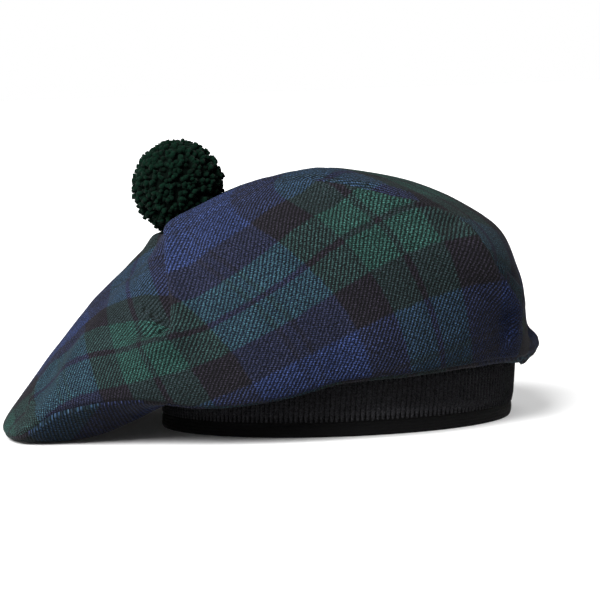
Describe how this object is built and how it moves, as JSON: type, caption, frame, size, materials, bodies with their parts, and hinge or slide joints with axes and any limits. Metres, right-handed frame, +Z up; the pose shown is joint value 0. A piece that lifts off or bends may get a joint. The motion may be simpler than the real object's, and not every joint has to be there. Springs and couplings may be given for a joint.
{
  "type": "tam o' shanter hat",
  "caption": "Soft round cloth hat in a dark blue, green and black check, drooping to one side, with a yarn pompom and a ribbed knit headband.",
  "frame": {"origin": "on the table, under the middle of the hat's bounding box", "axes": "+Z up, -Y towards the front, -X towards the end of the crown that droops to the table; the hat is longest along X and lowest along Z"},
  "size_m": [0.2676, 0.2302, 0.1424],
  "materials": {
    "tartan_wool": "brushed woven twill, matt",
    "ribbed_knit": "rib knit, matt",
    "wool_yarn": "cut yarn, matt"
  },
  "bodies": {
    "root": {"crown_top": "tartan_wool", "crown_underside": "tartan_wool", "headband": "ribbed_knit", "pompom": "wool_yarn"}
  },
  "joints": []
}
